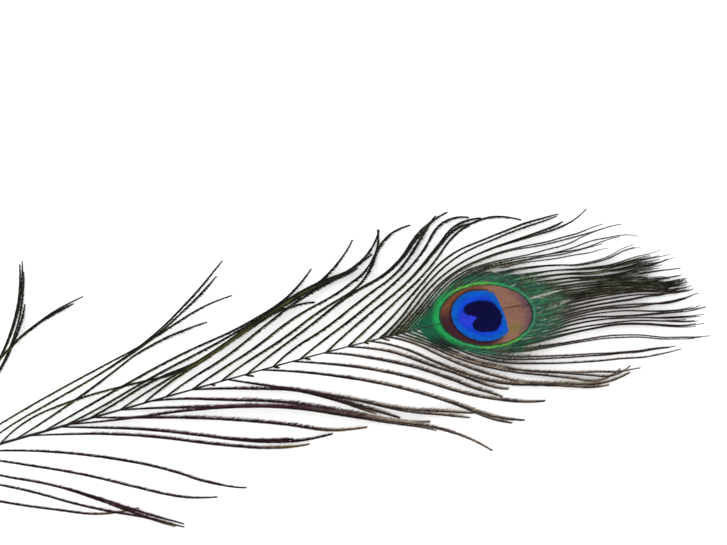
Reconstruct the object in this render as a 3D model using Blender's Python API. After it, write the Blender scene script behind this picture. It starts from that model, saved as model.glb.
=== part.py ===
"""A peacock's tail feather, about 398 mm long, lying with its coloured face up.

The feather grew as one piece, so it is one solid: a tapering shaft, long barbs on both sides of it, and the
eye near the tip, where the barbs lie so close that they make one egg-shaped disc.

Frame: +X runs from the quill to the tip, +Y to the feather's left side, +Z up, and the feather rests on z = 0.
Sizes below are in millimetres. A place along the shaft is its distance from the quill's end.
"""
import math

import bmesh
import bpy
from mathutils import Matrix, Vector

MM = 0.001
NAME = "feather"

# The middle of the feather's outline on the ground, which becomes the origin.
MIDDLE = (199.0, 7.6)

# Shaft: straight at first, then bending gently to the right as it nears the eye.
SHAFT_LENGTH = 328
SHAFT_LEAN = 0.0135
SHAFT_LEVEL_AT = 107
BEND_FROM = 215
BEND = 0.0003
SHAFT_STEP = 12
SHAFT_BEVEL_RESOLUTION = 2

# The shaft is thickest at the quill, whose end is rounded over its last stretch. FLAT_DEPTH is the share of
# its radius that is flattened underneath.
QUILL_RADIUS = 1.2
SHAFT_END_RADIUS = 0.27
THINNING = 3
QUILL_ROUNDING = 7
QUILL_END_SHARE = 0.35
FLAT_DEPTH = 0.4

# Barbs as they grow from each side of the shaft, quill first. A row holds the place on the shaft, the barb's
# length, and the angles to the feather's line, in degrees, that it points outward at its root, at each fifth
# of its length, and at its tip.
LEFT_BARBS = (
    (28, 70, 16, 16, 18, 22, 26, 18),
    (38, 129, 14, 12, 24, 40, 60, 78),
    (51, 112, 16, 14, 28, 42, 60, 76),
    (60, 108, 18, 24, 40, 38, 24, 8),
    (74, 40, 20, 22, 24, 30, 36, 40),
    (87, 130, 23, 16, 14, 12, 20, 5),
    (98, 125, 26, 14, 15, 21, 32, 41),
    (107, 118, 33, 8, 0, -3, 21, 21),
    (113, 91, 16, 19, 21, 24, 9, -2),
    (125, 127, 15, 15, 14, 8, 16, 41),
    (134, 139, 11, 16, 12, 16, 15, 50),
    (144, 103, 14, 18, 5, 22, 16, -14),
    (157, 129, 20, 15, 20, 20, 3, 62),
    (167, 100, 27, 18, 19, 20, 13, 4),
    (176, 101, 23, 16, 25, 22, 11, 23),
    (187, 102, 21, 17, 24, 12, 25, 86),
    (199, 101, 24, 17, 23, 14, 58, 0),
    (210, 104, 25, 21, 25, 12, 44, 7),
    (221, 90, 31, 16, 25, 20, 43, 37),
    (232, 91, 25, 22, 25, 28, 49, -23),
    (243, 84, 29, 26, 23, 35, 39, -14),
    (252, 91, 28, 29, 28, 42, 7, -30),
    (259, 96, 25, 33, 35, 7, 9, -4),
    (265, 89, 24, 40, 30, 9, 4, 7),
    (269, 97, 30, 39, 18, 2, 1, 31),
    (273, 105, 31, 37, 9, -6, 0, -7),
    (276, 100, 32, 37, 3, -9, 6, 3),
    (278, 102, 32, 35, 0, -6, 0, -2),
    (280, 104, 32, 32, -2, -4, 2, -16),
    (282, 92, 33, 31, 3, -9, 1, 4),
    (285, 106, 38, 21, -5, -16, 10, -24),
    (290, 101, 37, 13, -3, -15, 1, -4),
    (299, 91, 37, 4, -5, -13, -1, 1),
    (309, 83, 27, -1, -6, -11, -8, -11),
    (321, 72, 6, -3, -7, -14, -18, 18),
)
RIGHT_BARBS = (
    (32, 72, 10, 20, 26, 24, 18, 14),
    (45, 117, 0, 25, 26, 24, 24, -3),
    (59, 123, -4, 27, 26, 32, 23, 32),
    (72, 111, -2, 31, 24, 32, 34, 30),
    (84, 111, 9, 23, 24, 29, 30, 7),
    (95, 112, 11, 16, 21, 25, 35, 17),
    (119, 113, 12, 14, 19, 23, 20, 6),
    (132, 110, 16, 16, 21, 22, 17, 0),
    (136, 174, 11, 6, 13, 24, 23, 45),
    (146, 110, 16, 14, 17, 20, 23, 6),
    (157, 125, 11, 14, 13, 20, 26, 13),
    (170, 103, 8, 17, 16, 24, 27, 17),
    (187, 85, 12, 15, 16, 28, 32, 30),
    (202, 100, 24, 23, 24, 27, 18, 22),
    (216, 108, 16, 21, 25, 31, 35, 17),
    (229, 103, 18, 21, 27, 33, 23, 9),
    (242, 74, 16, 24, 27, 33, 36, 31),
    (252, 67, 17, 24, 37, 31, 38, 14),
    (261, 108, 21, 40, 33, 14, 17, -10),
    (268, 90, 22, 42, 35, 26, 18, 6),
    (273, 102, 31, 39, 25, 18, 25, -58),
    (277, 107, 35, 41, 24, 14, 16, 1),
    (280, 113, 38, 37, 15, 11, 8, -4),
    (282, 107, 43, 34, 15, 11, 10, -5),
    (286, 115, 51, 25, 4, 5, 18, 15),
    (290, 113, 58, 16, 1, 5, 22, 9),
    (299, 101, 55, 14, -6, 13, 13, 3),
    (309, 87, 41, 11, -1, 9, 12, -14),
    (319, 74, 20, 4, 5, 6, 14, 6),
)
# From here to the shaft's end the barbs grow without gaps, and stand for locks of many.
CLOSE_FROM = 285
LOCK_SPACING = 5

# A barb's section is a low ridge with a flat underside. Its fluff makes it fullest past its root: FULLNESS
# gives the share of its full section at even steps from root to tip.
BARB_HALF_WIDTH = 0.7
LOCK_HALF_WIDTH = 1.5
RIDGE_HEIGHT = 0.5
UNDERSIDE_DEPTH = 0.25
FULLNESS = (0.45, 0.8, 1.0, 1.0, 0.95, 0.85, 0.35)
BARB_STEPS = 12
TURN_STEPS = 36

# How high a strand arches over the ground, as a share of its length.
BARB_ARCH = 0.05
LOCK_ARCH = 0.02

# Eye: an egg-shaped disc, blunt towards the tip, a little domed.
EYE_AT = (309.3, -0.7)
EYE_HALF_LENGTH = 19.7
EYE_HALF_WIDTH = 13.6
EYE_HALF_THICKNESS = 0.7
EYE_HEIGHT = 1.05
EYE_TURN = -8
EYE_BLUNTNESS = 0.12
EYE_SEGMENTS = 32
EYE_RINGS = 6

# The block that flattens the shaft is larger than the feather.
GROUND_SIZE = (500, 300, 10)

BARB_COLOUR = (0.020, 0.026, 0.014, 1.0)
BARB_ROUGHNESS = 0.6


def clear_scene():
    """Removes what the file holds."""
    for item in list(bpy.context.scene.objects):
        bpy.data.objects.remove(item)


def new_collection(name, parent=None):
    """A new collection, in the scene's or in another."""
    collection = bpy.data.collections.new(name)
    (parent or bpy.context.scene.collection).children.link(collection)
    return collection


def hide_shape(shape):
    """Marks an object that only shapes another one."""
    shape.hide_render = True
    shape.display_type = "WIRE"


def shaft_side(along):
    """How far to the left the shaft's centre line lies."""
    past_bend = max(0, along - BEND_FROM)
    return SHAFT_LEAN * (along - SHAFT_LEVEL_AT) - BEND * past_bend ** 2


def shaft_radius(along):
    """The shaft's radius, rounded off at the quill's end and thinning towards the eye."""
    left_to_go = 1 - along / SHAFT_LENGTH
    radius = SHAFT_END_RADIUS + (QUILL_RADIUS - SHAFT_END_RADIUS) * left_to_go ** THINNING
    if along < QUILL_ROUNDING:
        radius *= QUILL_END_SHARE + (1 - QUILL_END_SHARE) * math.sqrt(along / QUILL_ROUNDING)
    return radius


def shaft_height(along):
    """The height of the shaft's centre line above the ground that it is flattened on."""
    return shaft_radius(along) * (1 - FLAT_DEPTH)


def place(along, side, height):
    """A point of the feather, in metres from the origin."""
    return Vector((along - MIDDLE[0], side - MIDDLE[1], height)) * MM


def value_along(values, share):
    """Reads a row of evenly spaced values at a share of its length."""
    position = share * (len(values) - 1)
    index = min(int(position), len(values) - 2)
    return values[index] + (values[index + 1] - values[index]) * (position - index)


def barb_line(barb, side):
    """The barb's centre line seen from above, as (share of its length, along, across) at even steps."""
    root, length, *turns = barb
    along, across = root, shaft_side(root)
    line = [(0, along, across)]
    step = length / TURN_STEPS
    for i in range(TURN_STEPS):
        angle = side * math.radians(value_along(turns, (i + 0.5) / TURN_STEPS))
        along += step * math.cos(angle)
        across += step * math.sin(angle)
        line.append(((i + 1) / TURN_STEPS, along, across))
    return line[::TURN_STEPS // BARB_STEPS]


def barb_between(barbs, along):
    """A barb that grows between two of the listed ones, and takes its shape from both."""
    for before, after in zip(barbs, barbs[1:]):
        if before[0] <= along <= after[0]:
            share = (along - before[0]) / (after[0] - before[0])
            return tuple(a + (b - a) * share for a, b in zip(before, after))
    return (along, *barbs[-1][1:])


def loose_barbs(barbs):
    """The barbs that stand apart, each as it is listed."""
    return [barb for barb in barbs if barb[0] < CLOSE_FROM]


def close_locks(barbs):
    """Locks at an even spacing, from where the barbs grow close to the shaft's end."""
    count = math.ceil((SHAFT_LENGTH - CLOSE_FROM) / LOCK_SPACING)
    return [barb_between(barbs, CLOSE_FROM + LOCK_SPACING * i) for i in range(count)]


def make_curve(name, points, radii, collection):
    """A curve through points, with a radius at each."""
    data = bpy.data.curves.new(name, "CURVE")
    data.dimensions = "3D"
    data.twist_mode = "Z_UP"
    data.use_fill_caps = True
    spline = data.splines.new("POLY")
    spline.points.add(len(points) - 1)
    for target, point, radius in zip(spline.points, points, radii):
        target.co = (*point, 1)
        target.radius = radius
    curve = bpy.data.objects.new(name, data)
    collection.objects.link(curve)
    return curve


def make_profile(name, half_width, tools):
    """The low ridge that is a strand's section."""
    data = bpy.data.curves.new(name, "CURVE")
    corners = ((half_width, -UNDERSIDE_DEPTH), (0, RIDGE_HEIGHT), (-half_width, -UNDERSIDE_DEPTH))
    spline = data.splines.new("POLY")
    spline.points.add(len(corners) - 1)
    for target, (across, up) in zip(spline.points, corners):
        target.co = (across * MM, up * MM, 0, 1)
    spline.use_cyclic_u = True
    profile = bpy.data.objects.new(name, data)
    hide_shape(profile)
    tools.objects.link(profile)
    return profile


def curve_to_mesh(curve, collection):
    """Replaces a curve by the closed mesh that it draws."""
    depsgraph = bpy.context.evaluated_depsgraph_get()
    mesh = bpy.data.meshes.new_from_object(curve.evaluated_get(depsgraph))
    shell = bmesh.new()
    shell.from_mesh(mesh)
    bmesh.ops.remove_doubles(shell, verts=shell.verts, dist=MM / 1000)
    bmesh.ops.recalc_face_normals(shell, faces=shell.faces)
    shell.to_mesh(mesh)
    shell.free()
    name, matrix = curve.name, curve.matrix_world.copy()
    bpy.data.objects.remove(curve)
    solid = bpy.data.objects.new(name, mesh)
    solid.matrix_world = matrix
    collection.objects.link(solid)
    return solid


def make_shaft(collection, tools):
    """The shaft, a tapering rod that is flattened underneath, where the feather rests."""
    count = SHAFT_LENGTH // SHAFT_STEP + 1
    places = [SHAFT_LENGTH * i / (count - 1) for i in range(count)]
    points = [place(at, shaft_side(at), shaft_height(at)) for at in places]
    curve = make_curve(NAME, points, [shaft_radius(at) for at in places], collection)
    curve.data.bevel_depth = MM
    curve.data.bevel_resolution = SHAFT_BEVEL_RESOLUTION
    shaft = curve_to_mesh(curve, collection)
    add_boolean(shaft, "DIFFERENCE", make_ground(tools))
    return shaft


def make_ground(tools):
    """A block below z = 0, to flatten the shaft's underside with."""
    mesh = bpy.data.meshes.new("ground")
    block = bmesh.new()
    size = Vector(GROUND_SIZE) * MM
    shape = Matrix.Translation((0, 0, -size.z / 2)) @ Matrix.Diagonal((*size, 1))
    bmesh.ops.create_cube(block, size=1, matrix=shape)
    block.to_mesh(mesh)
    block.free()
    ground = bpy.data.objects.new("ground", mesh)
    hide_shape(ground)
    tools.objects.link(ground)
    return ground


def make_strand(name, barb, side, arch_share, profile, tools):
    """One barb or lock: it leaves the shaft, arches up and comes down to the ground at its tip."""
    start = shaft_height(barb[0])
    tip = UNDERSIDE_DEPTH * FULLNESS[-1]
    arch = barb[1] * arch_share
    points, fullness = [], []
    for share, along, across in barb_line(barb, side):
        height = start + (tip - start) * share + 4 * arch * share * (1 - share)
        points.append(place(along, across, height))
        fullness.append(value_along(FULLNESS, share))
    curve = make_curve(name, points, fullness, tools)
    curve.data.bevel_mode = "OBJECT"
    curve.data.bevel_object = profile
    strand = curve_to_mesh(curve, tools)
    hide_shape(strand)
    return strand


def make_eye(tools):
    """The eye's disc, where the barbs lie close together."""
    mesh = bpy.data.meshes.new("eye")
    disc = bmesh.new()
    bmesh.ops.create_uvsphere(disc, u_segments=EYE_SEGMENTS, v_segments=EYE_RINGS, radius=1)
    for vert in disc.verts:
        vert.co.y *= 1 + EYE_BLUNTNESS * vert.co.x
    size = Vector((EYE_HALF_LENGTH, EYE_HALF_WIDTH, EYE_HALF_THICKNESS)) * MM
    turn = Matrix.Rotation(math.radians(EYE_TURN), 4, "Z")
    disc.transform(Matrix.Translation(place(*EYE_AT, EYE_HEIGHT)) @ turn @ Matrix.Diagonal((*size, 1)))
    disc.to_mesh(mesh)
    disc.free()
    eye = bpy.data.objects.new("eye", mesh)
    hide_shape(eye)
    tools.objects.link(eye)
    return eye


def add_boolean(target, operation, other):
    """Cuts or joins with another solid."""
    boolean = target.modifiers.new(f"{operation.lower()}_{other.name}", "BOOLEAN")
    boolean.operation = operation
    boolean.object = other
    boolean.solver = "EXACT"


def make_material():
    """The barbs' near-black green."""
    material = bpy.data.materials.new("barb_keratin")
    material.use_nodes = True
    shader = material.node_tree.nodes["Principled BSDF"]
    shader.inputs["Base Color"].default_value = BARB_COLOUR
    shader.inputs["Roughness"].default_value = BARB_ROUGHNESS
    return material


def make_feather():
    """The whole feather, fused from its shaft, barbs and eye."""
    collection = new_collection("peacock_feather")
    tools = new_collection("joined_shapes")
    feather = make_shaft(collection, tools)
    feather.data.materials.append(make_material())
    add_boolean(feather, "UNION", make_eye(tools))
    barb_profile = make_profile("barb_profile", BARB_HALF_WIDTH, tools)
    lock_profile = make_profile("lock_profile", LOCK_HALF_WIDTH, tools)
    for side, label, barbs in ((1, "left", LEFT_BARBS), (-1, "right", RIGHT_BARBS)):
        for i, barb in enumerate(loose_barbs(barbs)):
            strand = make_strand(f"{label}_barb_{i:02d}", barb, side, BARB_ARCH, barb_profile, tools)
            add_boolean(feather, "UNION", strand)
        for i, lock in enumerate(close_locks(barbs)):
            strand = make_strand(f"{label}_lock_{i:02d}", lock, side, LOCK_ARCH, lock_profile, tools)
            add_boolean(feather, "UNION", strand)


clear_scene()
make_feather()
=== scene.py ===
import math
import random
from collections import namedtuple

import bmesh
import bpy
from bpy.props import FloatProperty, FloatVectorProperty, IntProperty, PointerProperty
from bpy.utils import register_class, unregister_class
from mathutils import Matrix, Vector


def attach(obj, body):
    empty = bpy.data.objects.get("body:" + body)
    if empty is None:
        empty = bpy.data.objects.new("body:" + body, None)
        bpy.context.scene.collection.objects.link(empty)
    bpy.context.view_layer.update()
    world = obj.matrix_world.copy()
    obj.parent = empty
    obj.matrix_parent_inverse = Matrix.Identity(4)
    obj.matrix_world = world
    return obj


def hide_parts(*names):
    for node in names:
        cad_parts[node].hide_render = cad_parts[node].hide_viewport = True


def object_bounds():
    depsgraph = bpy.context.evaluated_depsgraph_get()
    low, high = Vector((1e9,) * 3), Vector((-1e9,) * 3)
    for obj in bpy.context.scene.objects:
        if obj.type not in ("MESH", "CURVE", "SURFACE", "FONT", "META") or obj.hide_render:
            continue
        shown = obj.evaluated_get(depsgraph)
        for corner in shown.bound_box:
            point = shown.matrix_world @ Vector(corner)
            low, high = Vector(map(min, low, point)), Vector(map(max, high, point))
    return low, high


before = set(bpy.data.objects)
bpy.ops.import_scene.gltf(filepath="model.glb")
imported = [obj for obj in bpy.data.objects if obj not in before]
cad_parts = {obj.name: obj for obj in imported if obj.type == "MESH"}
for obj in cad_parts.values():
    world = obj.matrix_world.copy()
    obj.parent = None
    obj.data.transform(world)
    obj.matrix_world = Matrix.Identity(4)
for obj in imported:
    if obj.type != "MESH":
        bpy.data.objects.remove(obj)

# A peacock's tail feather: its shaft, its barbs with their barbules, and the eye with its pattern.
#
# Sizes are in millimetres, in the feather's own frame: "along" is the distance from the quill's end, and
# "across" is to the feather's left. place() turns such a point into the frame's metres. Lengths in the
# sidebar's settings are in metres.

bl_info = {
    "name": "Peacock Feather",
    "version": (1, 0, 0),
    "blender": (4, 5, 0),
    "location": "View3D > Sidebar > Feather",
    "description": "Grows a peacock's tail feather, with barbules on every barb and a patterned eye",
    "category": "Add Mesh",
}

MM = 0.001
CAD_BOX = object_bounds()
NODE = "feather"
BODY = "root"

# The middle of the feather's outline, which is the frame's origin.
MIDDLE = (199.0, 7.6)

# The shaft leans a little to the left, crossing the feather's line at one place, and then bends gently to
# the right as it nears the eye.
SHAFT_LENGTH = 328
SHAFT_LEAN = 0.0135
SHAFT_LEVEL_AT = 107
BEND_FROM = 215
BEND = 0.0003

# Its radius thins towards the eye by a power. The quill's end is rounded off over its first millimetres,
# from a share of the full radius, and the underside is flattened by a share of it.
QUILL_RADIUS = 1.2
SHAFT_END_RADIUS = 0.27
THINNING = 3
QUILL_ROUNDING = 7
QUILL_END_SHARE = 0.35
FLAT_DEPTH = 0.4
SHAFT_SPACING = 2
SHAFT_SIDES = 14

# Barbs as they grow from each side of the shaft, quill first. A row holds the place on the shaft, the
# barb's length, and the angles to the feather's line, in degrees, that it points outward at its root, at
# each fifth of its length, and at its tip.
LEFT_BARBS = (
    (28, 70, 16, 16, 18, 22, 26, 18),
    (38, 129, 14, 12, 24, 40, 60, 78),
    (51, 112, 16, 14, 28, 42, 60, 76),
    (60, 108, 18, 24, 40, 38, 24, 8),
    (74, 40, 20, 22, 24, 30, 36, 40),
    (87, 130, 23, 16, 14, 12, 20, 5),
    (98, 125, 26, 14, 15, 21, 32, 41),
    (107, 118, 33, 8, 0, -3, 21, 21),
    (113, 91, 16, 19, 21, 24, 9, -2),
    (125, 127, 15, 15, 14, 8, 16, 41),
    (134, 139, 11, 16, 12, 16, 15, 50),
    (144, 103, 14, 18, 5, 22, 16, -14),
    (157, 129, 20, 15, 20, 20, 3, 62),
    (167, 100, 27, 18, 19, 20, 13, 4),
    (176, 101, 23, 16, 25, 22, 11, 23),
    (187, 102, 21, 17, 24, 12, 25, 86),
    (199, 101, 24, 17, 23, 14, 58, 0),
    (210, 104, 25, 21, 25, 12, 44, 7),
    (221, 90, 31, 16, 25, 20, 43, 37),
    (232, 91, 25, 22, 25, 28, 49, -23),
    (243, 84, 29, 26, 23, 35, 39, -14),
    (252, 91, 28, 29, 28, 42, 7, -30),
    (259, 96, 25, 33, 35, 7, 9, -4),
    (265, 89, 24, 40, 30, 9, 4, 7),
    (269, 97, 30, 39, 18, 2, 1, 31),
    (273, 105, 31, 37, 9, -6, 0, -7),
    (276, 100, 32, 37, 3, -9, 6, 3),
    (278, 102, 32, 35, 0, -6, 0, -2),
    (280, 104, 32, 32, -2, -4, 2, -16),
    (282, 92, 33, 31, 3, -9, 1, 4),
    (285, 106, 38, 21, -5, -16, 10, -24),
    (290, 101, 37, 13, -3, -15, 1, -4),
    (299, 91, 37, 4, -5, -13, -1, 1),
    (309, 83, 27, -1, -6, -11, -8, -11),
    (321, 72, 6, -3, -7, -14, -18, 18),
)
RIGHT_BARBS = (
    (32, 72, 10, 20, 26, 24, 18, 14),
    (45, 117, 0, 25, 26, 24, 24, -3),
    (59, 123, -4, 27, 26, 32, 23, 32),
    (72, 111, -2, 31, 24, 32, 34, 30),
    (84, 111, 9, 23, 24, 29, 30, 7),
    (95, 112, 11, 16, 21, 25, 35, 17),
    (119, 113, 12, 14, 19, 23, 20, 6),
    (132, 110, 16, 16, 21, 22, 17, 0),
    (136, 174, 11, 6, 13, 24, 23, 45),
    (146, 110, 16, 14, 17, 20, 23, 6),
    (157, 125, 11, 14, 13, 20, 26, 13),
    (170, 103, 8, 17, 16, 24, 27, 17),
    (187, 85, 12, 15, 16, 28, 32, 30),
    (202, 100, 24, 23, 24, 27, 18, 22),
    (216, 108, 16, 21, 25, 31, 35, 17),
    (229, 103, 18, 21, 27, 33, 23, 9),
    (242, 74, 16, 24, 27, 33, 36, 31),
    (252, 67, 17, 24, 37, 31, 38, 14),
    (261, 108, 21, 40, 33, 14, 17, -10),
    (268, 90, 22, 42, 35, 26, 18, 6),
    (273, 102, 31, 39, 25, 18, 25, -58),
    (277, 107, 35, 41, 24, 14, 16, 1),
    (280, 113, 38, 37, 15, 11, 8, -4),
    (282, 107, 43, 34, 15, 11, 10, -5),
    (286, 115, 51, 25, 4, 5, 18, 15),
    (290, 113, 58, 16, 1, 5, 22, 9),
    (299, 101, 55, 14, -6, 13, 13, 3),
    (309, 87, 41, 11, -1, 9, 12, -14),
    (319, 74, 20, 4, 5, 6, 14, 6),
)
VANES = ((1, "left", LEFT_BARBS), (-1, "right", RIGHT_BARBS))

# From the first of these on the barbs lie close, and from the second one on they hide the shaft. Their first
# spacing differs between the left (1) and right (-1) vane, and shrinks from a little after the first barb on.
CLOSE_FROM = 271.5
EYE_FROM = 291
FIRST_CLOSE_SPACING = {1: 1.9, -1: 2.5}
CLOSING_DELAY = 5

# Between these places on the shaft, for the left and right vane, the barbs' fluff changes from a loose
# barb's to a close one's, and their stems become as thin as close ones.
FLUFF_CHANGES = {1: (235, 287), -1: (262, 293)}
STEM_THINS = {1: (263.5, 287), -1: (273, 298)}

# Stubs of broken barbs on the right side: place on the shaft, length, and angle. Their barbules are short.
RIGHT_STUBS = ((195, 1.7, 34), (209, 3.9, 26), (221, 2.5, 29), (234, 2.5, 30), (259, 1.7, 34), (266, 3.4, 32))
STUB_STEPS = 4
STUB_FLUFF = 0.5

# How far a strand's line stays from the edges of the CAD model's outline, for its fluff.
EDGE_MARGIN = 0.8

# How high a loose and a close strand arch over the ground, as shares of their length, between which places
# on the shaft one becomes the other, and between which the roots move from the shaft's side to its top.
BARB_ARCH = 0.047
CLOSE_ARCH = 0.02
ARCH_CHANGES = (258, 280)
ROOTS_RISE = (290, 292)
TIP_HEIGHT = 0.25

# Along a strand of the left (1) and right (-1) vane, from root to tip: the stem's thickness and the
# barbules' length, as shares of the full ones. Loose barbs stay thick almost to the tip.
GIRTH = {1: (0.9, 1.0, 1.0, 1.0, 0.95, 0.9, 0.9, 0.85, 0.4),
         -1: (0.9, 1.0, 1.0, 1.0, 1.0, 1.0, 0.95, 0.85, 0.5)}
LOOSE_FLUFF = {1: (0.5, 0.8, 0.95, 1.0, 0.95, 0.85, 1.0, 1.1, 0.5),
               -1: (0.4, 0.8, 1.1, 1.25, 1.3, 1.3, 1.3, 1.25, 0.6)}
CLOSE_FLUFF = {1: (1.4, 0.9, 0.6, 0.45, 0.36, 0.36, 0.42, 0.4, 0.2),
               -1: (1.4, 1.0, 0.6, 0.42, 0.34, 0.3, 0.28, 0.25, 0.2)}

# How far apart the points of a loose barb's line are.
POINT_SPACING = 1.6

# A strand sways in three waves, each given by the range of how many run along it, and the sway grows
# towards the tip by a power.
SWAY_WAVES = ((0.6, 1.4), (1.8, 3.2), (4.0, 8.0))
SWAY_GROWTH = 3

# How far loose barbs sway, and how full the first ones are, until two places on the shaft make them full.
LOOSE_SWAY = 0.5
FIRST_FULLNESS = 0.7
FULLNESS_GROWS = (60, 160)

# Some loose barbs have a finer sister: the ranges of where it starts and ends, as shares of the barb's
# length, and of how far it parts from the barb, by which power it parts, and how thick and fluffy it is.
SISTER_CHANCE = 0.35
SISTER_STARTS = (0.3, 0.65)
SISTER_ENDS = (0.86, 1.0)
SISTER_PARTS = (1.0, 2.6)
SISTER_CURVE = 1.5
SISTER_GIRTH = 0.8
SISTER_FLUFF = 0.85

# The close barbs gather in bunches. For the left (1) and right (-1) vane: how far apart the bunches' roots
# are, how thick the stems are, the range of how far barbs gather, and what share of that the first ones do.
BUNCH_SPACING = {1: 4.5, -1: 3.3}
CLOSE_GIRTH = {1: 0.48, -1: 0.52}
GATHER = {1: (0.85, 1.0), -1: (0.7, 1.0)}
FIRST_GATHER = {1: 1.0, -1: 0.2}

# The ranges of how far the close barbs' tips sway with their bunch and on their own, and of how much of
# their length they reach.
BUNCH_SWAY = {1: (0.3, 1.8), -1: (0.4, 1.8)}
OWN_SWAY = {1: (0.2, 2.0), -1: (0.1, 0.6)}
REACH = {1: (0.78, 1.0), -1: (0.9, 1.0)}

# Between which shares of their length the close barbs gather, and between which they lift, how high at most,
# and in how many steps their lines are drawn.
GATHERS_AT = (0.12, 0.58)
LIFTS_AT = (0.3, 0.8)
CLOSE_LIFT = 0.9
CLOSE_STEPS = 64

# How high over the ground all but the shaft stays.
CLEARANCE = 0.02

# The barbs that fan out from the shaft's very end, how many bunches they gather in, and the ranges of where
# each lies in its share of the fan and of how far it gathers.
END_BARBS = 16
END_LENGTH = 65
END_BUNCHES = 3
END_PLACING = (0.3, 0.7)
END_GATHER = (0, 0.5)

# A barb's stem has this many sides. A barbule's blade is a cone on three sides whose base is slanted and
# shifted, so that the root lies at 0, the widest part at a third and the tip at about 1.
RAMUS_SIDES = 4
BLADE_RADIUS = 0.58
BLADE_DEPTH = 0.75
BLADE_SLANT = -0.4
BLADE_SHIFT = 0.23

# The ranges of how much more or less barbules lean, in radians, of how steeply they rise, and of their
# length as a share of the full one. Their seeds are a step apart.
LEAN_CHANGE = (-0.2, 0.2)
RISE = (-0.15, 0.2)
LENGTH_CHANGE = (0.7, 1.1)
SEED_STEP = 10

# The eye's pattern: ovals as (centre, half sizes, turn in degrees), measured from the eye's centre. The
# blue is where its oval and a far larger one overlap, the pupil is three ovals run together, and the glints
# are painted highlights where barbs catch the light. The roundings are over how far ovals run into one
# another.
EYE_CENTRE = (309.5, -0.6)
Oval = namedtuple("Oval", "centre radii turn")
BRONZE_OVAL = Oval((-0.35, 0), (18.7, 12.3), -14)
RING_OVAL = Oval((-0.3, 0), (19.7, 13.2), -14)
BLUE_OVAL = Oval((-1.9, 0.15), (12.6, 10.1), -28)
BLUE_CUT = Oval((-35, -5.1), (42, 42), 0)
BLUE_ROUNDING = 1
PUPIL_OVALS = (Oval((-2.1, 3.2), (6.8, 3.2), -10), Oval((0.6, -1.6), (5.1, 5.5), -15),
               Oval((-2.8, -3.4), (4.0, 3.0), -20))
PUPIL_ROUNDING = 0.8
VIOLET_OVAL = Oval((-6.9, 0.4), (4, 3), -20)
OLIVE_OVAL = Oval((9.7, -8.2), (3.6, 2.5), -20)
EMERALD_OVAL = Oval((7, -1.5), (30, 20), -14)
WEDGE_OVAL = Oval((-20.6, 1.8), (10, 5.5), 5)
SHAFT_MARK = Oval((12.2, 0.3), (6.2, 0.14), -5)
WEDGE_SHADE_OVAL = Oval((-21.3, -3.2), (9.5, 3.6), -49)
GLINTS = (Oval((25, 1.9), (3.8, 0.3), 1), Oval((30.4, -3.2), (3.6, 0.45), 8), Oval((8, 16.6), (2.6, 0.4), -8))

# The close-knit part that the pattern lies on, called the web: its columns, how far under the barbs it lies,
# how thick it is, how many points of a barb have to lie in it, by how many its rows' ends are ragged, and how
# far towards the barbs' tips and the barbules' ends its colours are read.
WEB_OVALS = (Oval((1.6, 0.5), (22.8, 16.9), -14), Oval((-20.4, 1.3), (7.2, 4.7), 2),
             Oval((-21.3, -3), (9.2, 3.3), -49))
WEB_COLUMNS = 28
WEB_DEPTH = 0.05
WEB_THICKNESS = 0.16
WEB_ROW_POINTS = 4
WEB_RAGGED = 2
WEB_TIP = 0.4
WEB_REACH = 0.5

# The close barbs are fluffier around the web's rim, beside and beyond the eye: how much at most, how far
# that goes, as shares of the web's size, and how far before the eye's centre it starts.
RIM_FLUFF = 1.2
RIM_FLUFF_FROM = 0.75
RIM_FLUFF_TO = 1.5
RIM_FLUFF_BEFORE = 12

# The barbs' patterns. The colours' edges have jags of this size and reach, clumps of barbs are lighter or
# darker together, mixed with a share of streaks that differ from barb to barb, and flecks lie in the green,
# some of them painted highlights.
JAG_SIZE = 0.9
JAG_REACH = 0.9
CLUMP_SIZE = (7.14, 2)
FLECK_SIZE = (8.33, 0.556)
STREAK_SHARE = 0.65

# Streaks run along each barb, and are as long as this on a barb of the usual length. The finest are the
# barbules' grain, which is too fine to show and so drawn 1.5 mm long. The spread of the barbs' tints gives
# each barb streaks of its own, and those of the ring also make its rim ragged.
USUAL_LENGTH = 100
PATCH_STREAK = 12
GREEN_STREAK = 10
RING_STREAK = 3
BARBULE_GRAIN = 1.5
TINT_SPREAD = 80
RING_RAGGEDNESS = 1.6

# Where the right barbs' lighter colour is full and where it ends, from the eye's centre, and the mark of
# the vane where the left vane's colour is full and where it ends.
LIGHT_RIGHT = (-20, -90)
ON_LEFT = (0.5, -0.5)

# The shaft is pale up to one place and dark from another. Its fibres are too fine to show, about 0.02 mm
# wide, and so are drawn wider.
PALE_UNTIL = 30
DARK_FROM = 105
FIBRE_LENGTH = 16
FIBRE_WIDTH = 0.4
FIBRE_HEIGHT = 0.05

# The shaft's and the web's edges that turn by more than this stay sharp.
SHARP_FROM = math.radians(50)

# The map that the colours can be baked to: its margin in metres, and how far height shifts a point in it.
MAP_MARGIN = 0.01
MAP_LEAN = (0.4, 0.3)

# The photograph's framing: its middle on the feather, its width there, and how its level line is turned.
VIEW_MIDDLE = (266.0, 28.7)
VIEW_WIDTH = 292.3
VIEW_TURN = 15

# The paper's side in metres, and how soft the lamp is and how far it leans to the left and the top.
PAPER_SIZE = 6.0
LAMP_SPREAD = math.radians(40)
LAMP_TILT = math.radians(25)

# A barb's raised line, with its thickness and fluff at each point, and its tint, vane and closeness.
Strand = namedtuple("Strand", "points girth fluff tint vane close")


def linear(hex_colour):
    """An sRGB hex colour as linear red, green, blue and alpha."""
    shares = [int(hex_colour[i:i + 2], 16) / 255 for i in (1, 3, 5)]
    return (*[s / 12.92 if s <= 0.04045 else ((s + 0.055) / 1.055) ** 2.4 for s in shares], 1.0)


def distance_property(name, description, default):
    """A length in metres, shown as one in the panel."""
    return FloatProperty(name=name, description=description, default=default, precision=5,
                         unit="LENGTH", subtype="DISTANCE")


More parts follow.
